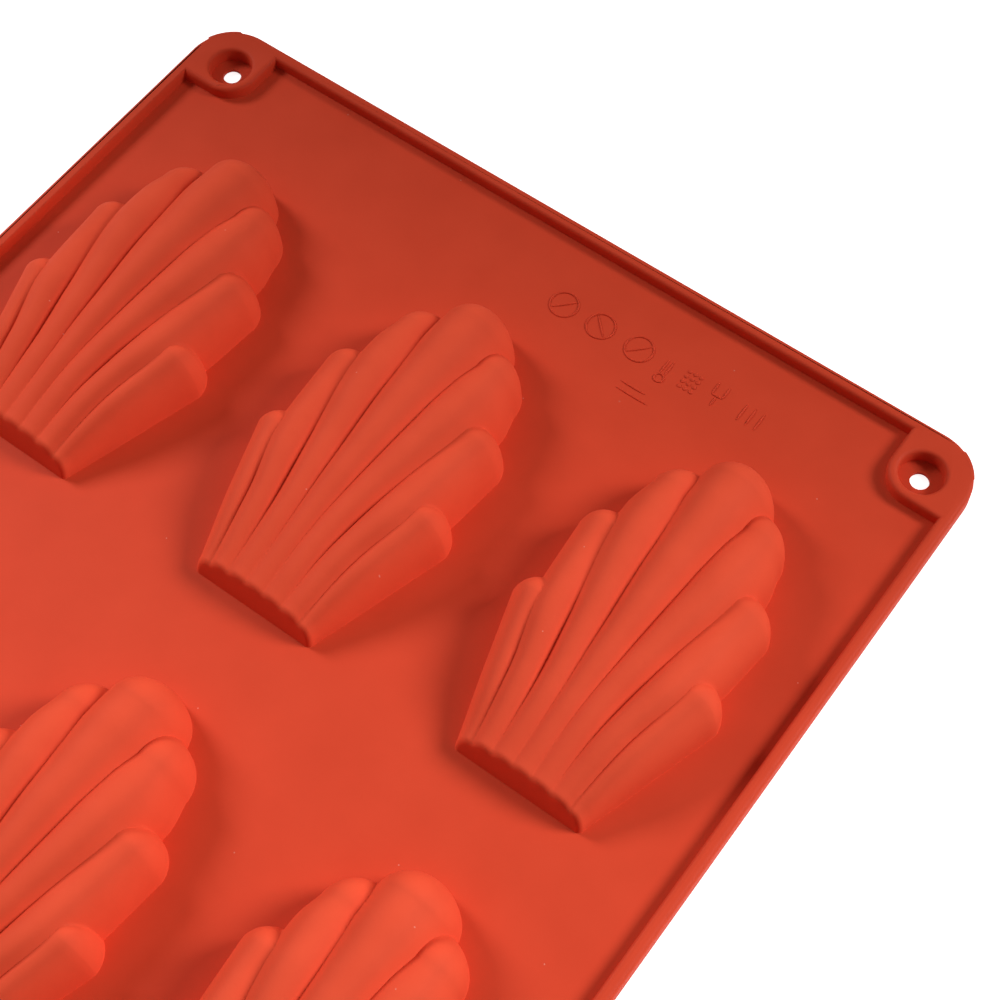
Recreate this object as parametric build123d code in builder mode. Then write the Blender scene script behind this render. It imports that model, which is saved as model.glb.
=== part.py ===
from build123d import *
import os
from math import cos, radians, sin, sqrt, tan

# A soft baking mould for nine shell cakes, lying on its flat filling face with the shells upwards.
# It is one moulding. Each region of it that has a name of its own is a solid of its own here,
# and every region meets the next one face to face.
# The origin is the middle of the flat face, +X runs along the short side,
# +Y towards the wide ends of the shells, and +Z up.

# Web sheet, in mm. The walls of the shells are as thick as the sheet.
sheet_length = 300
sheet_width = 175
wall = 1.2
corner_radius = 9.5

# Raised rim round the edge
rim_width = 2.4
rim_height = 3.8
rim_round = 0.9

# Corner pads with a stepped hole each, to hang the mould by
pad_size = 15.2
pad_inner_radius = 6.1
hole_inset = 9.1
hole_diameter = 3.5
recess_diameter = 8.3
recess_floor = 0.7

# Shells. They fill the sheet inside its margins, with even gaps between them.
columns = 3
rows = 3
side_margin = 11.4
column_gap = 14
narrow_margin = 24
tip_margin = 27.3
row_gap = 19.8
shell_height = 14.1
side_draft_angle = 10
end_lean_angle = 20

overrun = 1

# A shell has a middle lobe and three on each side. These are the places along it where a lobe's
# crest is given, from the narrow end, as shares of the length.
place_shares = (0, 0.215, 0.387, 0.631, 0.735, 0.811, 0.901)
# The crest of each lobe, from the middle one outwards, at those places: how far out, as a share
# of half the width, how high and how round, as shares of the height.
crest_shares = (
    (
        (0, 0.41, 0.34),
        (0, 0.71, 0.252),
        (0, 0.879, 0.26),
        (0, 0.998, 0.388),
        (0, 1, 0.436),
        (0, 0.992, 0.467),
        (0, 0.937, 0.455),
    ),
    (
        (0.167, 0.4, 0.3),
        (0.199, 0.7, 0.21),
        (0.257, 0.846, 0.191),
        (0.38, 0.948, 0.348),
        (0.4, 0.893, 0.361),
        (0.405, 0.804, 0.279),
    ),
    (
        (0.34, 0.355, 0.23),
        (0.447, 0.693, 0.224),
        (0.58, 0.834, 0.325),
        (0.665, 0.762, 0.304),
    ),
    (
        (0.47, 0.27, 0.17),
        (0.628, 0.629, 0.208),
        (0.762, 0.754, 0.258),
    ),
)
# The round end of each lobe: its length as a share of the shell's, and how far in it bends,
# as a share of half the width
end_length_shares = (0.099, 0.107, 0.082, 0.082)
end_bend_shares = (0, 0.127, 0.031, 0.029)
# Steps along a round end
end_steps = (0.55, 0.87)
last_step = 0.965
# Flat strips across the arch of a lobe
strips = 4

draft = radians(side_draft_angle)
half_length = sheet_length / 2
half_width = sheet_width / 2
rows_length = sheet_length - narrow_margin - tip_margin
shell_length = (rows_length - (rows - 1) * row_gap) / rows
shell_width = (sheet_width - 2 * side_margin - (columns - 1) * column_gap) / columns
column_pitch = shell_width + column_gap
row_pitch = shell_length + row_gap
half_shell = shell_width / 2
lobes = len(crest_shares)
rail_length = sheet_length - 2 * pad_size
rail_width = sheet_width - 2 * pad_size
hole_x = half_width - hole_inset
hole_y = half_length - hole_inset


def blend(low, high, share):
    return [a + (b - a) * share for a, b in zip(low, high)]


def foot_reach(height, radius):
    # how far the foot of a drafted side lies from the crest of an arch of this radius
    return (radius * (1 - sin(draft)) + height * sin(draft)) / cos(draft)


def lobe(index, share):
    # how far out, how high and how round a lobe is at a share of the length
    table = crest_shares[index]
    last = place_shares[len(table) - 1]
    if share <= last:
        step = max(i for i, place in enumerate(place_shares[: len(table) - 1]) if place <= share)
        start = place_shares[step]
        part = (share - start) / (place_shares[step + 1] - start)
        out, height, radius = blend(table[step], table[step + 1], part)
        return out * half_shell, height * shell_height, radius * shell_height
    out, height, radius = table[-1]
    height *= shell_height
    radius *= shell_height
    reach = foot_reach(height, radius)
    step = (share - last) / end_length_shares[index]
    narrowing = sqrt(1 - step**2)
    bend = end_bend_shares[index] * (1 - narrowing)
    # the end falls away along its length as the arch does across it
    behind = step * reach
    if behind < radius * cos(draft):
        low = height - radius + sqrt(radius**2 - behind**2)
    else:
        low = (reach - behind) / tan(draft)
    round_size = (reach * narrowing * cos(draft) - low * sin(draft)) / (1 - sin(draft))
    return (out - bend) * half_shell, low, min(round_size, low)


def reach_at(share):
    # how far out the foot of the outermost lobe lies at a share of the length
    feet = []
    for index in range(lobes):
        last = place_shares[len(crest_shares[index]) - 1]
        if share <= last + end_length_shares[index] * last_step:
            out, height, radius = lobe(index, share)
            feet.append(out + foot_reach(height, radius))
    return max(feet)


_, tip_height, tip_radius = crest_shares[0][-1]
tip_reach = foot_reach(tip_height * shell_height, tip_radius * shell_height)


def ring(index, side, share, base, gap):
    # the closed outline of one lobe across the shell, its feet drawn in by the gap
    out, height, radius = lobe(index, share)
    squeeze = 1 - gap / max(reach_at(share), tip_reach)
    out *= squeeze
    radius *= squeeze
    foot = foot_reach(height, radius)
    half_turn = radians(90) - draft
    points = [(out - foot, 0)]
    for strip in range(strips + 1):
        turn = half_turn * (2 * strip / strips - 1)
        points.append((out + radius * sin(turn), height - radius * (1 - cos(turn))))
    points.append((out + foot, 0))
    along = gap + share * (shell_length - 2 * gap)
    return [Vector(side * x, along, base + z) for x, z in points]


def lobe_body(index, side, base, gap):
    # one lobe as a solid of flat faces, from the narrow end to its round end
    shares = list(place_shares[: len(crest_shares[index])])
    last = shares[-1]
    for step in (*end_steps, last_step):
        shares.append(last + step * end_length_shares[index])
    rings = [ring(index, side, share, base, gap) for share in shares]
    faces = [Face(Wire.make_polygon(rings[0])), Face(Wire.make_polygon(rings[-1]))]
    for near, far in zip(rings, rings[1:]):
        for i in range(len(near)):
            patch = [near[i - 1], near[i], far[i], far[i - 1]]
            faces.append(Face(Wire.make_polygon(patch)))
    return Solid(Shell(faces))


def fluted_bodies(base, gap):
    bodies = [lobe_body(0, 1, base, gap)]
    for index in range(1, lobes):
        bodies += [lobe_body(index, side, base, gap) for side in (1, -1)]
    return bodies


def lean_plane(base, gap):
    # the end wall at the narrow end, leaning towards the shell
    lean = radians(end_lean_angle)
    return Plane(origin=(0, gap, base), x_dir=(1, 0, 0), z_dir=(0, cos(lean), -sin(lean)))


def row_places(x):
    # one shell in every row, from the one nearest the front edge
    first = narrow_margin - half_length
    return [(x, first + i * row_pitch, 0) for i in range(rows)]


column_xs = [(i - (columns - 1) / 2) * column_pitch for i in range(columns)]

with BuildPart() as cavity:
    add(fluted_bodies(0, wall))
    split(bisect_by=lean_plane(0, wall), keep=Keep.TOP)

with BuildPart() as shell_cup:
    add(fluted_bodies(wall, 0))
    split(bisect_by=lean_plane(wall, 0), keep=Keep.TOP)
    add(cavity.part, mode=Mode.SUBTRACT)

with BuildPart() as shell_cups_left:
    with Locations(*row_places(column_xs[0])):
        add(shell_cup.part)

with BuildPart() as shell_cups_middle:
    with Locations(*row_places(column_xs[1])):
        add(shell_cup.part)

with BuildPart() as shell_cups_right:
    with Locations(*row_places(column_xs[2])):
        add(shell_cup.part)

inner_width = sheet_width - 2 * rim_width
inner_length = sheet_length - 2 * rim_width
pad_corner = pad_size - rim_width

with BuildPart() as web_sheet:
    with BuildSketch() as inside:
        Rectangle(inner_width, inner_length)
        with GridLocations(inner_width - pad_corner, inner_length - pad_corner, 2, 2):
            Rectangle(pad_corner, pad_corner, mode=Mode.SUBTRACT)
        corners = inside.vertices()
        corners = corners.filter_by(lambda v: abs(v.X) < half_width - rim_width - overrun)
        corners = corners.filter_by(lambda v: abs(v.Y) < half_length - rim_width - overrun)
        fillet(corners, pad_inner_radius)
    extrude(amount=wall)
    for x in column_xs:
        with Locations(*row_places(x)):
            add(cavity.part, mode=Mode.SUBTRACT)


def rail(length):
    # a straight stretch of the rim along X, its outer side towards -Y and rounded at the top
    with BuildPart() as stretch:
        with BuildSketch(Plane.YZ.offset(-length / 2)) as profile:
            Rectangle(rim_width, rim_height, align=(Align.MIN, Align.MIN))
            outer = profile.vertices().group_by(Axis.X)[0].sort_by(Axis.Y)[-1]
            fillet(outer, rim_round)
        extrude(amount=length)
    return stretch.part


with BuildPart() as rim_front:
    with Locations((0, -half_length, 0)):
        add(rail(rail_width))

with BuildPart() as rim_back:
    with Locations(Location((0, half_length, 0), (0, 0, 180))):
        add(rail(rail_width))

with BuildPart() as rim_left:
    with Locations(Location((-half_width, 0, 0), (0, 0, -90))):
        add(rail(rail_length))

with BuildPart() as rim_right:
    with Locations(Location((half_width, 0, 0), (0, 0, 90))):
        add(rail(rail_length))

with BuildPart() as corner_pads:
    with BuildSketch() as block:
        with Locations((half_width, half_length)):
            Rectangle(pad_size, pad_size, align=(Align.MAX, Align.MAX))
        fillet(block.vertices().sort_by(lambda v: v.X + v.Y)[-1], corner_radius)
        fillet(block.vertices().sort_by(lambda v: v.X + v.Y)[0], pad_inner_radius)
    extrude(amount=rim_height)
    top_edges = corner_pads.edges().group_by(Axis.Z)[-1]
    fillet(top_edges.sort_by(lambda e: e.center().X + e.center().Y)[-3:], rim_round)
    with Locations((hole_x, hole_y, rim_height)):
        CounterBoreHole(
            radius=hole_diameter / 2,
            counter_bore_radius=recess_diameter / 2,
            counter_bore_depth=rim_height - recess_floor,
            depth=rim_height + overrun,
        )
    mirror(about=Plane.YZ)
    mirror(about=Plane.XZ)

nodes = {
    "web_sheet": web_sheet,
    "rim_front": rim_front,
    "rim_back": rim_back,
    "rim_left": rim_left,
    "rim_right": rim_right,
    "corner_pads": corner_pads,
    "shell_cups_left": shell_cups_left,
    "shell_cups_middle": shell_cups_middle,
    "shell_cups_right": shell_cups_right,
}
os.makedirs("parts", exist_ok=True)
for name, node in nodes.items():
    node.part.label = name
    export_step(node.part, f"parts/{name}.step")
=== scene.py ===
import bpy
import math
from mathutils import Matrix, Vector


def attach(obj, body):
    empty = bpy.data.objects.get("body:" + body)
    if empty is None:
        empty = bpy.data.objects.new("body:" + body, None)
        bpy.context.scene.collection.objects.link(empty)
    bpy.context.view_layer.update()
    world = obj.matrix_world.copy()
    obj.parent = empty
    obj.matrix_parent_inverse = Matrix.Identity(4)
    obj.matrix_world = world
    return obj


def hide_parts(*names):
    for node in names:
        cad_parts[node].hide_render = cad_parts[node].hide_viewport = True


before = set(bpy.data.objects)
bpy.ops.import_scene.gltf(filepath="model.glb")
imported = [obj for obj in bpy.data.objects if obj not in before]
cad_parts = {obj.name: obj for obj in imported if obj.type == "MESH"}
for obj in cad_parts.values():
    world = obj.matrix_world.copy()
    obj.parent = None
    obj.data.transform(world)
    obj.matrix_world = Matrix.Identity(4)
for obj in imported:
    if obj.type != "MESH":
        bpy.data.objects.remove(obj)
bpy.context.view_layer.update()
print("frame loaded")

mm = 0.001
close = 0.01  # two places this near, in millimetres, are the same
mergeGap = 0.002  # points nearer than this, in millimetres, are merged

# The web sheet and the rim, in millimetres
sheet = {
    "halfWidth": 87.5,
    "halfLength": 150,
    "wall": 1.2,
    "rimWidth": 2.4,
    "rimHeight": 3.8,
    "outerRound": 0.9,
    "innerRound": 0.9,
    "innerFrom": 1.5,  # the rim's inner edges lie further in than this
    "cornerRadius": 9.5,
    "cornerSteps": 16,
    "padSize": 15.2,
    "padRadius": 6.1,
    "padReach": (95, 160),  # corner of a pad's cutter, past the edge
    "arcSteps": 14,
    "roundSteps": 5,
    "roundSlack": 0.05,  # how far a point may be off an arc that it lies on
    "overrun": 1,
    "cutTop": 6,
    "plugTop": 3,
    "smoothAngle": 35,
}

# The stepped holes in the corner pads, in millimetres
hole = {
    "inset": 9.1,
    "radius": 1.75,
    "recessRadius": 4.15,
    "floor": 0.7,
    "edgeRound": 0.8,
    "drillDepth": 10,
    "steps": 64,
}

# A fluted shell, in millimetres. The crests are given at places along it, as shares of its length:
# how far out as a share of half the width, then how high and how round as shares of the height.
shell = {
    "columns": (-55.4, 0, 55.4),
    "rows": (-126, -36.5, 53),  # where the narrow ends are
    "length": 69.7,
    "halfWidth": 20.7,
    "height": 14.1,
    "draft": math.radians(10),
    "lean": math.radians(14),
    "leanFade": 15,
    "places": (0, 0.215, 0.387, 0.631, 0.735, 0.811, 0.901),
    "crests": (
        ((0, 0.39, 0.33), (0, 0.71, 0.23), (0, 0.879, 0.25), (0, 0.998, 0.388),
         (0, 1, 0.436), (0, 0.992, 0.467), (0, 0.937, 0.455)),
        ((0.167, 0.385, 0.3), (0.199, 0.7, 0.225), (0.27, 0.846, 0.26),
         (0.38, 0.948, 0.348), (0.4, 0.893, 0.361), (0.405, 0.804, 0.279)),
        ((0.34, 0.347, 0.24), (0.447, 0.693, 0.2), (0.58, 0.834, 0.27),
         (0.665, 0.762, 0.304)),
        ((0.47, 0.26, 0.17), (0.628, 0.629, 0.208), (0.762, 0.754, 0.258)),
    ),
    "innerShares": (1, 0.88, 1, 0.5),  # roundness of a lobe's inner side, against its outer side
    "endLengths": (0.099, 0.107, 0.082, 0.082),  # round ends, as shares of the length
    "endBends": (0, 0.127, 0.031, 0.029),  # how far in they bend, as shares of half the width
    "endLimit": 0.9999,  # how far along its round end a lobe is followed
    "endMargin": 1.02,  # the middle lobe ends this many foot rounds up
    "footRound": 0.02,
    "footReach": 0.45,  # stretch of the foot that its direction is averaged over
    "lipRound": 0.3,
    "endRound": 1,  # where the lobes turn into the leaning end wall
    "innerEndRound": 0.6,  # the same inside
    "wallParts": (0, 0.35, 0.7),  # rows up the leaning end wall
    "leanSteps": 4,
    "archPoints": 14,
    "legPoints": 6,
    "rowGap": 1.3,
    "plainRows": 200,
    "plainRoom": 0.4,  # room that a plain row needs, as a share of the row gap
    "endRows": 18,
    "endStep": 0.02,  # row just past the end of a lobe
    "roundRows": 6,
    "grooveHalvings": 34,
    "endHalvings": 40,
    "smoothAngle": 50,
    "leastPower": 0.5,
    "fall": 1.45,  # 1 is as round outwards as inwards at the crest, more is rounder
    "grooveFill": 0.3,
    "topTurn": math.radians(50),  # how far round a lobe its top reaches
    "sidePoints": 4,
    "settle": 2,  # side below a lobe's top at which its own points are in place
}
lobes = len(shell["crests"])


def curveAt(values, places, x):
    # a smooth curve through the values that doesn't overshoot them
    n = len(values)
    slopes = [(values[i + 1] - values[i]) / (places[i + 1] - places[i]) for i in range(n - 1)]
    tangents = [slopes[0]]
    for i in range(1, n - 1):
        a, b = slopes[i - 1], slopes[i]
        tangents.append(2 * a * b / (a + b) if a * b > 0 else 0)
    tangents.append(slopes[-1])
    i = min(max(k for k in range(n - 1) if places[k] <= x or k == 0), n - 2)
    gap = places[i + 1] - places[i]
    t = (x - places[i]) / gap
    return ((2 * t**3 - 3 * t**2 + 1) * values[i] + (t**3 - 2 * t**2 + t) * gap * tangents[i]
            + (3 * t**2 - 2 * t**3) * values[i + 1] + (t**3 - t**2) * gap * tangents[i + 1])


def footReach(height, radius):
    d = shell["draft"]
    return (radius * (1 - math.sin(d)) + height * math.sin(d)) / math.cos(d)


def crestPlace(index):
    return shell["places"][len(shell["crests"][index]) - 1]


def lobe(index, share):
    # how far out, how high and how round outwards and inwards one lobe is, at a share of the length
    rows = shell["crests"][index]
    last = crestPlace(index)
    places = shell["places"][: len(rows)]
    reached = min(share, last)
    out, height, radius = (curveAt([r[k] for r in rows], places, reached) for k in range(3))
    height *= shell["height"]
    radius *= shell["height"]
    inner = radius * shell["innerShares"][index]
    if share <= last:
        return out * shell["halfWidth"], height, radius, inner
    step = min((share - last) / shell["endLengths"][index], shell["endLimit"])
    narrowing = math.sqrt(1 - step**2)
    bend = shell["endBends"][index] * (1 - narrowing)
    out = (out - bend) * shell["halfWidth"]
    return out, height * narrowing, radius * narrowing, inner * narrowing


# A lobe is a round arch over a drafted side towards the middle, and outwards it falls to its foot as
# a power of a cosine. A place on this profile is the distance from the crest, outwards as it is
# just beside the crest.
def outerCurve(shape):
    # how far out the foot lies, and the power
    _, height, radius, _ = shape
    reach = footReach(height, radius)
    return reach, max(shell["leastPower"], min(shell["fall"] * reach**2 / (height * radius), 1))


def profilePoint(shape, t):
    out, height, _, radius = shape
    if t > 0:
        reach, power = outerCurve(shape)
        return out + reach * math.sin(t / reach), height * math.cos(t / reach) ** power
    d = shell["draft"]
    arch = radius * (math.pi / 2 - d)
    if -t <= arch:
        return out + radius * math.sin(t / radius), height - radius * (1 - math.cos(t / radius))
    more = -t - arch
    return (out - radius * math.cos(d) - more * math.sin(d),
            height - radius * (1 - math.sin(d)) - more * math.cos(d))


def profilePlace(shape, across):
    out, _, _, radius = shape
    away = across - out
    if away > 0:
        reach = outerCurve(shape)[0]
        return reach * math.asin(min(away / reach, 1))
    d = shell["draft"]
    if -away < radius * math.cos(d):
        return radius * math.asin(away / radius)
    return -radius * (math.pi / 2 - d) - (-away - radius * math.cos(d)) / math.sin(d)


def levelPlace(shape, level):
    # where the outer side of a lobe comes down to a level
    reach, power = outerCurve(shape)
    return reach * math.acos(min(level / shape[1], 1) ** (1 / power))


def heightAt(shape, across):
    out, height, _, radius = shape
    away = across - out
    if away > 0:
        reach, power = outerCurve(shape)
        return height * (1 - (away / reach) ** 2) ** (power / 2) if away < reach else reach - away
    if -away < radius * math.cos(shell["draft"]):
        return height - radius + math.sqrt(radius**2 - away**2)
    return (footReach(height, radius) + away) / math.tan(shell["draft"])


def halve(low, high, holds, times):
    # how far up from low the test holds
    for _ in range(times):
        middle = (low + high) / 2
        if holds(middle):
            low = middle
        else:
            high = middle
    return low


def grooveAt(inner, outer):
    # how far out the groove between two lobes lies
    return halve(inner[0], outer[0] + footReach(outer[1], outer[2]),
                 lambda x: heightAt(inner, x) > heightAt(outer, x), shell["grooveHalvings"])


def widest(share, gap):
    # the lobes that still stand out here, squeezed so that the outermost foot comes in by the gap
    shapes = [lobe(0, share)]
    for index in range(1, lobes):
        if share >= endShares[index] - 1e-9:
            break
        shapes.append(lobe(index, share))
    foot = max(s[0] + footReach(s[1], s[2]) for s in shapes)
    squeeze = 1 - gap / max(foot, footReach(*lobe(0, crestPlace(0))[1:3]))
    return [(s[0] * squeeze, s[1], s[2] * squeeze, s[3] * squeeze) for s in shapes]


def standsOut(index, share):
    level = shell["footRound"]
    shape, inner = lobe(index, share), lobe(index - 1, share)
    if shape[1] <= level:
        return False
    here = profilePoint(shape, levelPlace(shape, level))[0]
    there = profilePoint(inner, levelPlace(inner, level))[0]
    return here > there + close


def showsAt(index, share):
    if index:
        return standsOut(index, share)
    return lobe(0, share)[1] > shell["footRound"] * shell["endMargin"]


# Where each lobe has sunk into the side of its neighbour, and the middle one into the sheet
endShares = []
for index in range(lobes):
    start = crestPlace(index)
    endShares.append(halve(start, start + shell["endLengths"][index],
                           lambda share: showsAt(index, share), shell["endHalvings"]))


def slotPlaces(shape, place, last):
    # places of one lobe's points, most of them over its top and the others down its side
    n, low = shell["archPoints"], shell["sidePoints"]
    top = footReach(shape[1], shape[2]) * shell["topTurn"]
    if last <= top:
        return [place + (last - place) * i / n for i in range(n)]
    settled = min((last - top) / shell["settle"], 1)
    places = []
    for i in range(n):
        even = place + (top - place) * i / n
        if i < n - low:
            wanted = place + (top - place) * i / (n - low)
        else:
            wanted = top + (last - top) * (i - n + low) / low
        places.append(even + (wanted - even) * settled)
    return places


def halfProfile(share, gap, level):
    # the points of one side of a fluted profile, from the middle crest to the foot, always as many
    shapes = widest(share, gap)
    points = []
    grooves = []
    place = 0
    for index in range(len(shapes) - 1):
        across = grooveAt(shapes[index], shapes[index + 1])
        last = profilePlace(shapes[index], across)
        points += [profilePoint(shapes[index], t) for t in slotPlaces(shapes[index], place, last)]
        place = profilePlace(shapes[index + 1], across)
        grooves.append(len(points))
    shape = shapes[-1]
    foot = levelPlace(shape, level)
    spare = (lobes - len(shapes)) * shell["archPoints"] + shell["legPoints"]
    if len(shapes) == lobes:
        count = shell["archPoints"] + spare
        points += [profilePoint(shape, place + (foot - place) * i / count) for i in range(count + 1)]
    else:
        # the points of the lobes that have ended all lie at the foot
        points += [profilePoint(shape, t) for t in slotPlaces(shape, place, foot)]
        points += [profilePoint(shape, foot)] * (spare + 1)
    for k in grooves:
        # the grooves are a little rounded
        (_, before), (x, z), (_, after) = points[k - 1: k + 2]
        points[k] = (x, z + ((before + after) / 2 - z) * shell["grooveFill"])
    return points


def rowShares():
    # places of the mesh rows along a shell, closer together round each lobe's end
    length = shell["length"]
    shares = []
    for index in range(lobes):
        last, reach = crestPlace(index), shell["endLengths"][index]
        full = math.asin(min((endShares[index] - last) / reach, 1))
        n = shell["endRows"]
        shares += [last + reach * math.sin(full * i / n) for i in range(n + 1)]
        if index:
            shares.append(endShares[index] + shell["endStep"] / length)
    plain = [(shell["endRound"] + i * shell["rowGap"]) / length for i in range(shell["plainRows"])]
    room = shell["plainRoom"] * shell["rowGap"] / length
    shares += [s for s in plain if s < endShares[0] and min(abs(s - t) for t in shares) > room]
    return sorted(set(shares))


def fullProfile(share, gap, level):
    half = halfProfile(share, gap, level)
    return [(-x, z) for x, z in reversed(half[1:])] + half


def drawnIn(profile, amount):
    # the profile moved inwards by an amount, all but its feet's level
    result = []
    for i, (x, z) in enumerate(profile):
        x0, z0 = profile[max(i - 1, 0)]
        x1, z1 = profile[min(i + 1, len(profile) - 1)]
        dx, dz = x1 - x0, z1 - z0
        size = math.hypot(dx, dz) or 1
        result.append((x + dz / size * amount, z - dx / size * amount))
    result[0] = (result[0][0], profile[0][1])
    result[-1] = (result[-1][0], profile[-1][1])
    return result


def leanRow(share, gap, level):
    # a mesh row as points (x, y, z), leaning back near the narrow end as the end wall does
    length = shell["length"] - 2 * gap
    start = share * length
    slope = math.tan(shell["lean"]) * max(0, 1 - start / shell["leanFade"])
    near = fullProfile(share, gap, level)
    if slope == 0:
        return [(x, gap + start, z) for x, z in near]
    reach = slope * shell["height"]
    far = fullProfile((start + reach) / length, gap, level)
    row = []
    for (x0, z0), (x1, z1) in zip(near, far):
        z = z0
        for _ in range(shell["leanSteps"]):
            part = slope * z / reach
            z = z0 + (z1 - z0) * part
        row.append((x0 + (x1 - x0) * part, gap + start + slope * z, z))
    return row


def skin(gap, level, endRound):
    # the rows of one side of a shell's wall, its leaning end wall first
    shares = rowShares()
    first = leanRow(shares[0], gap, level)
    lean = math.tan(shell["lean"])
    rows = []
    n = shell["roundRows"]
    for i in range(n, 0, -1):
        angle = math.pi / 2 * i / n
        profile = drawnIn([(x, z) for x, _, z in first], endRound * (1 - math.cos(angle)))
        back = endRound * (1 - math.sin(angle))
        rows.append([(x, gap + back + lean * z, z) for x, z in profile])
    foot = [(x, gap + lean * level, level) for x, _, _ in rows[0]]
    wallRows = [[tuple(a[k] + (b[k] - a[k]) * part for k in range(3)) for a, b in zip(foot, rows[0])]
                for part in shell["wallParts"]]
    return wallRows + rows + [leanRow(s, gap, level) for s in shares]


def rimOf(rows):
    # the indices of the skin's open edge, all the way round
    wide, count = len(rows[0]), len(rows)
    left = [r * wide for r in range(count - 1, 0, -1)]
    foot = list(range(wide - 1))
    right = [r * wide + wide - 1 for r in range(count - 1)]
    tip = [(count - 1) * wide + i for i in range(wide - 1, 0, -1)]
    return left + foot + right + tip


def outwards(loop):
    # the direction away from a loop of points, averaged over a short stretch on each side
    n = len(loop)
    result = []
    for i in range(n):
        ends = []
        for step in (-1, 1):
            k, left = i, shell["footReach"]
            here = Vector(loop[i][:2])
            while left > 0:
                k = (k + step) % n
                there = Vector(loop[k][:2])
                gap = (there - here).length
                if gap >= left:
                    here = here + (there - here) * (left / gap)
                    left = 0
                else:
                    left -= gap
                    here = there
            ends.append(here)
        along = (ends[1] - ends[0]).normalized()
        result.append((along.y, -along.x))
    return result


def flared(loop, base, radius):
    # rings that turn from a wall's foot outwards on to a level
    away = outwards(loop)
    rings = []
    n = shell["roundRows"]
    for i in range(1, n + 1):
        angle = math.pi / 2 * i / n
        out = radius * (1 - math.cos(angle))
        rings.append([(p[0] + a[0] * out, p[1] + a[1] * out, base + radius * (1 - math.sin(angle)))
                      for p, a in zip(loop, away)])
    return rings


def shellMesh():
    # points and faces of one shell at the origin, its narrow end at y = 0
    points, faces = [], []

    def addSkin(rows, base, inner):
        start = len(points)
        wide = len(rows[0])
        points.extend((x, y, base + z) for row in rows for x, y, z in row)
        for r in range(len(rows) - 1):
            for i in range(wide - 1):
                a = start + r * wide + i
                quad = (a, a + 1, a + wide + 1, a + wide)
                faces.append(quad[::-1] if inner else quad)
        return [start + k for k in rimOf(rows)]

    def addRing(last, ring, inner):
        start = len(points)
        points.extend(ring)
        n = len(ring)
        for i in range(n):
            k = (i + 1) % n
            quad = (last[i], start + i, start + k, last[k])
            faces.append(quad[::-1] if inner else quad)
        return [start + i for i in range(n)]

    edges = []
    for gap, base, radius, endRound, inner in (
            (0, sheet["wall"], shell["footRound"], shell["endRound"], False),
            (sheet["wall"], 0, shell["lipRound"], shell["innerEndRound"], True)):
        edge = addSkin(skin(gap, radius, endRound), base, inner)
        for ring in flared([points[k] for k in edge], base, radius):
            edge = addRing(edge, ring, inner)
        edges.append(edge)
    outline = [points[k][:2] for k in edges[0]]
    lower = addRing(edges[0], [(x, y, 0) for x, y in outline], False)
    n = len(lower)
    for i in range(n):
        k = (i + 1) % n
        faces.append((lower[i], edges[1][i], edges[1][k], lower[k]))
    return points, faces, outline


def deselectAll():
    if bpy.context.object and bpy.context.object.mode != "OBJECT":
        bpy.ops.object.mode_set(mode="OBJECT")
    bpy.ops.object.select_all(action="DESELECT")


def makeActive(piece):
    deselectAll()
    piece.select_set(True)
    bpy.context.view_layer.objects.active = piece


def applyPlace(piece):
    makeActive(piece)
    bpy.ops.object.transform_apply(location=True, rotation=True, scale=True)


def applyModifiers(piece):
    makeActive(piece)
    for modifier in list(piece.modifiers):
        bpy.ops.object.modifier_apply(modifier=modifier.name)


def box(name, low, high):
    # a block between two corners, in millimetres
    deselectAll()
    bpy.ops.mesh.primitive_cube_add(size=1, location=[(a + b) / 2 * mm for a, b in zip(low, high)])
    piece = bpy.context.object
    piece.name = name
    piece.scale = [(b - a) * mm for a, b in zip(low, high)]
    applyPlace(piece)
    return piece


def selectEdges(piece, test):
    # into edit mode with the edges chosen by their two ends, in millimetres
    makeActive(piece)
    bpy.ops.object.mode_set(mode="EDIT")
    bpy.ops.mesh.select_mode(type="EDGE")
    bpy.ops.mesh.select_all(action="DESELECT")
    bpy.ops.object.mode_set(mode="OBJECT")
    mesh = piece.data
    for edge in mesh.edges:
        a, b = (mesh.vertices[i].co / mm for i in edge.vertices)
        edge.select = test(a, b)
    bpy.ops.object.mode_set(mode="EDIT")


def bevelEdges(piece, test, radius, steps):
    selectEdges(piece, test)
    bpy.ops.mesh.bevel(offset=radius * mm, offset_type="OFFSET", segments=steps, profile=0.5,
                       affect="EDGES", clamp_overlap=False)
    bpy.ops.object.mode_set(mode="OBJECT")


def boolean(piece, tool, operation):
    modifier = piece.modifiers.new("cut", "BOOLEAN")
    modifier.operation = operation
    modifier.solver = "EXACT"
    modifier.object = tool
    applyModifiers(piece)


def mergeDoubles(piece, turnOut=False):
    makeActive(piece)
    bpy.ops.object.mode_set(mode="EDIT")
    bpy.ops.mesh.select_all(action="SELECT")
    bpy.ops.mesh.remove_doubles(threshold=mergeGap * mm)
    if turnOut:
        bpy.ops.mesh.normals_make_consistent(inside=False)
    bpy.ops.object.mode_set(mode="OBJECT")


def joined(pieces):
    # the first piece, with the others in it
    deselectAll()
    for piece in pieces:
        piece.select_set(True)
    bpy.context.view_layer.objects.active = pieces[0]
    bpy.ops.object.join()
    return pieces[0]


def meshPiece(name, points, faces):
    # a new piece from points in millimetres
    mesh = bpy.data.meshes.new(name)
    mesh.from_pydata([(x * mm, y * mm, z * mm) for x, y, z in points], [], faces)
    piece = bpy.data.objects.new(name, mesh)
    bpy.context.collection.objects.link(piece)
    return piece


def smooth(piece, angle):
    makeActive(piece)
    bpy.ops.object.shade_smooth_by_angle(angle=math.radians(angle))


def cut(piece, tool):
    boolean(piece, tool, "DIFFERENCE")
    bpy.data.objects.remove(tool)


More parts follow.
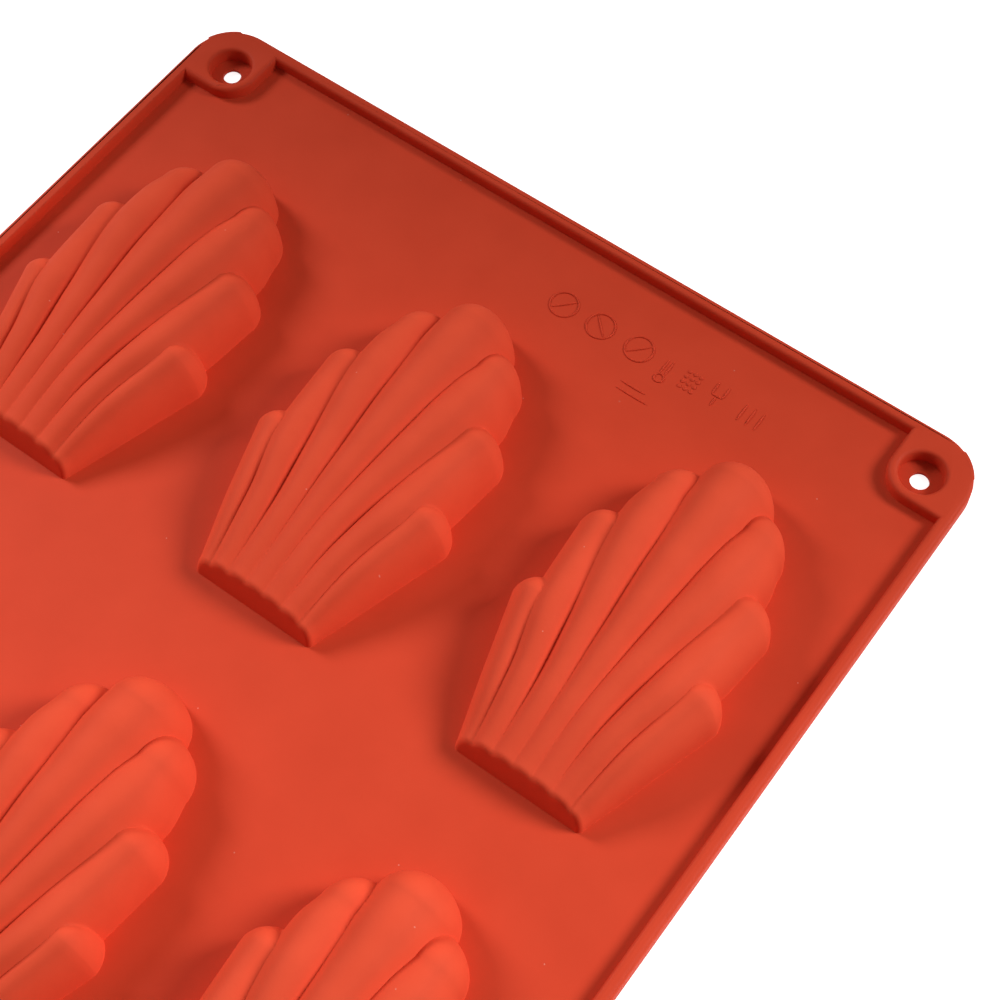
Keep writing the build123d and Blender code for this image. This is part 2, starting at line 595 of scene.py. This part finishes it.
def insideBlock(name, low, high):
    # the space inside the rim and round the pads, between two levels
    halfX = sheet["halfWidth"] - sheet["rimWidth"]
    halfY = sheet["halfLength"] - sheet["rimWidth"]
    block = box(name, (-halfX, -halfY, low), (halfX, halfY, high))
    for sx in (-1, 1):
        for sy in (-1, 1):
            x = sx * (sheet["halfWidth"] - sheet["padSize"])
            y = sy * (sheet["halfLength"] - sheet["padSize"])
            farX, farY = sx * sheet["padReach"][0], sy * sheet["padReach"][1]
            cutter = box("padCutter", (min(x, farX), min(y, farY), low - sheet["overrun"]),
                         (max(x, farX), max(y, farY), high + sheet["overrun"]))
            bevelEdges(cutter, lambda *ends: all(abs(p.x - x) < close and abs(p.y - y) < close for p in ends),
                       sheet["padRadius"], sheet["arcSteps"])
            cut(block, cutter)
    return block


# Red silicone, satin on the sheet and rim and duller on the shells, where its paler colour is painted light:
# a lit copy of the same silicone
looks = {
    "satinSilicone": {
        "colour": (0.69, 0.064, 0.025, 1),
        "deepColour": (0.65, 0.058, 0.022, 1),
        "roughness": 0.6,
        "specular": 0.12,
        "bloomScale": 90,
        "grainScale": 2600,
        "grainHeight": 0.00001,
    },
    # The shells' copy of the sheet's silicone: rougher, and paler as painted light
    "matteSiliconePaintedLight": {
        "colour": (0.81, 0.088, 0.037, 1),
        "deepColour": (0.77, 0.08, 0.033, 1),
        "roughness": 0.75,
        "specular": 0.1,
        "bloomScale": 140,
        "grainScale": 1900,
        "grainHeight": 0.00003,
    },
}


# What both tones share: uneven in tone, with a very fine grain and a pale speck of dust here and there
surface = {
    "bloomDetail": 3,
    "bloomRange": (0.3, 0.75),  # from the deep colour to the plain one
    "grainStrength": 0.35,
    "speckScale": 34,
    "speckSize": 0.00012,
    "speckShare": 0.35,
    "speckColour": (0.8, 0.5, 0.4, 1),
}


def siliconeMaterial(name, look):
    material = bpy.data.materials.new(name)
    material.use_nodes = True
    nodes, links = material.node_tree.nodes, material.node_tree.links
    shader = nodes["Principled BSDF"]
    place = nodes.new("ShaderNodeTexCoord")
    bloom = nodes.new("ShaderNodeTexNoise")
    bloom.inputs["Scale"].default_value = look["bloomScale"]
    bloom.inputs["Detail"].default_value = surface["bloomDetail"]
    ramp = nodes.new("ShaderNodeValToRGB")
    ramp.color_ramp.elements[0].position = surface["bloomRange"][0]
    ramp.color_ramp.elements[0].color = look["deepColour"]
    ramp.color_ramp.elements[1].position = surface["bloomRange"][1]
    ramp.color_ramp.elements[1].color = look["colour"]
    grain = nodes.new("ShaderNodeTexNoise")
    grain.inputs["Scale"].default_value = look["grainScale"]
    bump = nodes.new("ShaderNodeBump")
    bump.inputs["Strength"].default_value = surface["grainStrength"]
    bump.inputs["Distance"].default_value = look["grainHeight"]
    links.new(place.outputs["Object"], bloom.inputs["Vector"])
    links.new(place.outputs["Object"], grain.inputs["Vector"])
    links.new(bloom.outputs["Fac"], ramp.inputs["Fac"])
    specks = nodes.new("ShaderNodeTexVoronoi")
    specks.voronoi_dimensions = "2D"
    specks.inputs["Scale"].default_value = surface["speckScale"]
    near = nodes.new("ShaderNodeMath")
    near.operation = "LESS_THAN"
    near.inputs[1].default_value = surface["speckSize"] * surface["speckScale"]
    faint = nodes.new("ShaderNodeMath")
    faint.operation = "MULTIPLY"
    faint.inputs[1].default_value = surface["speckShare"]
    tint = nodes.new("ShaderNodeMix")
    tint.data_type = "RGBA"
    tint.inputs["B"].default_value = surface["speckColour"]
    links.new(place.outputs["Object"], specks.inputs["Vector"])
    links.new(specks.outputs["Distance"], near.inputs[0])
    links.new(near.outputs["Value"], faint.inputs[0])
    links.new(faint.outputs["Value"], tint.inputs["Factor"])
    links.new(ramp.outputs["Color"], tint.inputs["A"])
    links.new(tint.outputs["Result"], shader.inputs["Base Color"])
    links.new(grain.outputs["Fac"], bump.inputs["Height"])
    links.new(bump.outputs["Normal"], shader.inputs["Normal"])
    shader.inputs["Roughness"].default_value = look["roughness"]
    shader.inputs["Specular IOR Level"].default_value = look["specular"]
    return material


def finishPiece(piece, name, look, *nodes):
    piece.name = name
    piece.data.name = name
    piece.data.materials.clear()
    piece.data.materials.append(materials[look])
    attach(piece, "root")
    if nodes:
        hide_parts(*nodes)


materials = {name: siliconeMaterial(name, look) for name, look in looks.items()}
for nodeName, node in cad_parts.items():
    node.data.materials.clear()
    # the shells take the paler copy, whose extra brightness is painted light
    tone = "matteSiliconePaintedLight" if "shell" in nodeName else "satinSilicone"
    node.data.materials.append(materials[tone])

# The shells, worked out by formula because no primitive gives fluted lobes that end one by one
points, faces, outline = shellMesh()
columnNodes = ("shell_cups_left", "shell_cups_middle", "shell_cups_right")
rowNames = ("Front", "Centre", "Back")
for column, nodeName in zip(shell["columns"], columnNodes):
    for row, rowName in zip(shell["rows"], rowNames):
        cup = meshPiece("cup", [(x + column, y + row, z) for x, y, z in points], faces)
        mergeDoubles(cup)
        smooth(cup, shell["smoothAngle"])
        cupName = "shellCup" + nodeName.split("_")[-1].capitalize() + rowName
        finishPiece(cup, cupName, "matteSiliconePaintedLight", nodeName)
print("shells done")

# Web sheet, with an opening under each shell
web = insideBlock("webSheet", 0, sheet["wall"])
plugs = []
n = len(outline)
plugFaces = [tuple(range(n))[::-1], tuple(range(n, 2 * n))]
plugFaces += [(i, (i + 1) % n, n + (i + 1) % n, n + i) for i in range(n)]
for column in shell["columns"]:
    for row in shell["rows"]:
        levels = (-sheet["overrun"], sheet["plugTop"])
        plug = meshPiece("plug", [(x + column, y + row, z) for z in levels for x, y in outline], plugFaces)
        mergeDoubles(plug, turnOut=True)
        plugs.append(plug)
cut(web, joined(plugs))
finishPiece(web, "webSheet", "satinSilicone", "web_sheet")
print("web sheet done", len(web.data.polygons))

# Faint raised signs behind the shells: plain rings, bars and a block of dots, nothing to read.
# A ring is x, y and its radius, and a bar goes from x, y to x, y.
marks = {
    "line": 0.17,  # half the width of a raised line, and how far it stands up
    "level": 0.05,
    "rings": ((6.7, 134.6, 2.7), (14.9, 134.6, 2.7), (23.4, 134.6, 2.7), (29.7, 131.6, 0.9)),
    "ringSteps": (72, 12),
    "bars": ((4.8, 132.7, 8.6, 136.5), (13, 136.5, 16.8, 132.7), (21.5, 132.7, 25.3, 136.5),
             (29.2, 132.4, 29.2, 136), (30.2, 132.4, 30.2, 136),
             (39.2, 134.4, 39.2, 137.4), (41.4, 134.4, 41.4, 137.4), (40.3, 132, 40.3, 134.4),
             (39.2, 134.4, 41.4, 134.4), (45.8, 132.2, 45.8, 136.4), (47.6, 132.2, 47.6, 136.4),
             (49.4, 132.2, 49.4, 136.4), (24.4, 125.6, 31.4, 125.6), (24.4, 127.2, 29.8, 127.2)),
    "barSpread": 1.15,
    "dotPlace": (33.6, 132.4),
    "dotGap": 1.2,
    "dotCounts": (3, 4),
    "dotRadius": 0.42,
    "ballSteps": (16, 10),
    "smoothAngle": 60,
}


def flatBall(x, y, radius, scale, turn=0):
    # a ball on the sheet, stretched or pressed flat
    deselectAll()
    around, down = marks["ballSteps"]
    bpy.ops.mesh.primitive_uv_sphere_add(segments=around, ring_count=down, radius=radius * mm,
                                         location=(x * mm, y * mm, height), rotation=(0, 0, turn))
    ball = bpy.context.object
    ball.scale = scale
    applyPlace(ball)
    return ball


signs = []
height = (sheet["wall"] + marks["level"]) * mm
for x, y, radius in marks["rings"]:
    deselectAll()
    around, across = marks["ringSteps"]
    bpy.ops.mesh.primitive_torus_add(
        location=(x * mm, y * mm, height), major_radius=radius * mm, minor_radius=marks["line"] * mm,
        major_segments=around, minor_segments=across)
    applyPlace(bpy.context.object)
    signs.append(bpy.context.object)
for x0, y0, x1, y1 in marks["bars"]:
    length = math.hypot(x1 - x0, y1 - y0)
    signs.append(flatBall((x0 + x1) / 2, (y0 + y1) / 2, marks["line"],
                          (length / 2 / marks["line"], marks["barSpread"], 1),
                          math.atan2(y1 - y0, x1 - x0)))
for i in range(marks["dotCounts"][0]):
    for k in range(marks["dotCounts"][1]):
        x = marks["dotPlace"][0] + marks["dotGap"] * i
        y = marks["dotPlace"][1] + marks["dotGap"] * k
        signs.append(flatBall(x, y, marks["dotRadius"], (1, 1, marks["line"] / marks["dotRadius"])))
sign = joined(signs)
smooth(sign, marks["smoothAngle"])
finishPiece(sign, "raisedSigns", "satinSilicone")
print("signs done", len(sign.data.polygons))

# Rim and corner pads in one sweep round the edge
rim = box("rimAndPads", (-sheet["halfWidth"], -sheet["halfLength"], 0),
          (sheet["halfWidth"], sheet["halfLength"], sheet["rimHeight"]))
bevelEdges(rim, lambda a, b: abs(a.x - b.x) < close and abs(a.y - b.y) < close,
           sheet["cornerRadius"], sheet["cornerSteps"])
cut(rim, insideBlock("inside", -sheet["overrun"], sheet["cutTop"]))
holeX = sheet["halfWidth"] - hole["inset"]
holeY = sheet["halfLength"] - hole["inset"]
for sx in (-1, 1):
    for sy in (-1, 1):
        for radius, low in ((hole["radius"], -sheet["overrun"]), (hole["recessRadius"], hole["floor"])):
            deselectAll()
            bpy.ops.mesh.primitive_cylinder_add(
                vertices=hole["steps"], radius=radius * mm, depth=hole["drillDepth"] * mm,
                location=(sx * holeX * mm, sy * holeY * mm, (low + hole["drillDepth"] / 2) * mm))
            drill = bpy.context.object
            applyPlace(drill)
            cut(rim, drill)


def onTop(a, b):
    return min(a.z, b.z) > sheet["rimHeight"] - close


def isOuter(p):
    x, y = abs(p.x) - sheet["halfWidth"], abs(p.y) - sheet["halfLength"]
    r = sheet["cornerRadius"]
    if x > -r and y > -r:
        return abs(math.hypot(x + r, y + r) - r) < sheet["roundSlack"]
    return abs(x) < close or abs(y) < close


def isHole(p):
    return math.hypot(abs(p.x) - holeX, abs(p.y) - holeY) < hole["recessRadius"] + sheet["roundSlack"]


def isInner(p):
    return (not isOuter(p) and not isHole(p) and abs(p.x) < sheet["halfWidth"] - sheet["innerFrom"]
            and abs(p.y) < sheet["halfLength"] - sheet["innerFrom"])


for isEdge, radius in ((isOuter, sheet["outerRound"]), (isInner, sheet["innerRound"]),
                       (isHole, hole["edgeRound"])):
    bevelEdges(rim, lambda a, b: onTop(a, b) and isEdge(a) and isEdge(b), radius, sheet["roundSteps"])
smooth(rim, sheet["smoothAngle"])
finishPiece(rim, "rimAndPads", "satinSilicone",
            "rim_front", "rim_back", "rim_left", "rim_right", "corner_pads")
print("rim done", len(rim.data.polygons))

# Floor, lights and camera, in metres
ground = {
    "size": 6,
    "level": -0.0003,
    "colour": (0.9, 0.9, 0.9, 1),
    "roughness": 0.9,
    "lift": 0.85,  # white that the floor has of its own, where it is seen
}
deselectAll()
bpy.ops.mesh.primitive_plane_add(size=ground["size"], location=(0, 0, ground["level"]))
floor = bpy.context.object
floor.name = "floor"
floorLook = bpy.data.materials.new("paleFloor")
floorLook.use_nodes = True
nodes, links = floorLook.node_tree.nodes, floorLook.node_tree.links
plain = nodes["Principled BSDF"]
plain.inputs["Base Color"].default_value = ground["colour"]
plain.inputs["Roughness"].default_value = ground["roughness"]
plain.inputs["Specular IOR Level"].default_value = 0
# seen directly or through a reflection the floor is white, but it keeps its shadows
ray = nodes.new("ShaderNodeLightPath")
either = nodes.new("ShaderNodeMath")
either.operation = "MAXIMUM"
seen = nodes.new("ShaderNodeMath")
seen.operation = "MAXIMUM"
lift = nodes.new("ShaderNodeMath")
lift.operation = "MULTIPLY"
lift.inputs[1].default_value = ground["lift"]
links.new(ray.outputs["Is Camera Ray"], either.inputs[0])
links.new(ray.outputs["Is Glossy Ray"], either.inputs[1])
links.new(either.outputs["Value"], seen.inputs[0])
links.new(ray.outputs["Is Transmission Ray"], seen.inputs[1])
links.new(seen.outputs["Value"], lift.inputs[0])
plain.inputs["Emission Color"].default_value = (1, 1, 1, 1)
links.new(lift.outputs["Value"], plain.inputs["Emission Strength"])
floor.data.materials.append(floorLook)

# Two soft lamps, one on each long side, each aimed so that it fades towards the back
lights = {
    "sky": 0.13,
    "radius": 0.13,
    "lamps": {
        "lampRight": {
            "power": 17.6,
            "cone": 40,
            "place": (0.45, 0.357, 0.388),
            "aim": (0.04, -0.005, 0),
        },
        "lampLeft": {
            "power": 17.3,
            "cone": 37,
            "place": (-0.6, 0.09, 0.455),
            "aim": (-0.035, 0.005, 0),
        },
    },
}
world = bpy.data.worlds.new("studio")
world.use_nodes = True
world.node_tree.nodes["Background"].inputs["Color"].default_value = (1, 1, 1, 1)
world.node_tree.nodes["Background"].inputs["Strength"].default_value = lights["sky"]
bpy.context.scene.world = world
for lampName, facts in lights["lamps"].items():
    deselectAll()
    bpy.ops.object.light_add(type="SPOT", location=facts["place"])
    lamp = bpy.context.object
    lamp.name = lampName
    lamp.data.energy = facts["power"]
    lamp.data.shadow_soft_size = lights["radius"]
    lamp.data.spot_size = math.radians(facts["cone"])
    lamp.data.spot_blend = 1
    aim = Vector(facts["aim"]) - Vector(facts["place"])
    lamp.rotation_euler = aim.to_track_quat("-Z", "Y").to_euler()

camera = {
    "place": (0.127342, -0.039356, 0.309881),
    "right": (0.80436, 0.59387, -0.01788),
    "view": (-0.30004, 0.38004, -0.87496),
    "focal": 73.0,
    "sensor": 36,
    "clip": 0.01,
}
deselectAll()
bpy.ops.object.camera_add(location=camera["place"])
eye = bpy.context.object
right = Vector(camera["right"]).normalized()
back = -Vector(camera["view"]).normalized()
up = back.cross(right)
turn = Matrix((right, up, back)).transposed()
eye.rotation_euler = turn.to_euler()
eye.data.lens = camera["focal"]
eye.data.sensor_width = camera["sensor"]
eye.data.clip_start = camera["clip"]
bpy.context.scene.camera = eye
bpy.context.scene.view_settings.view_transform = "Standard"
print("stage done")
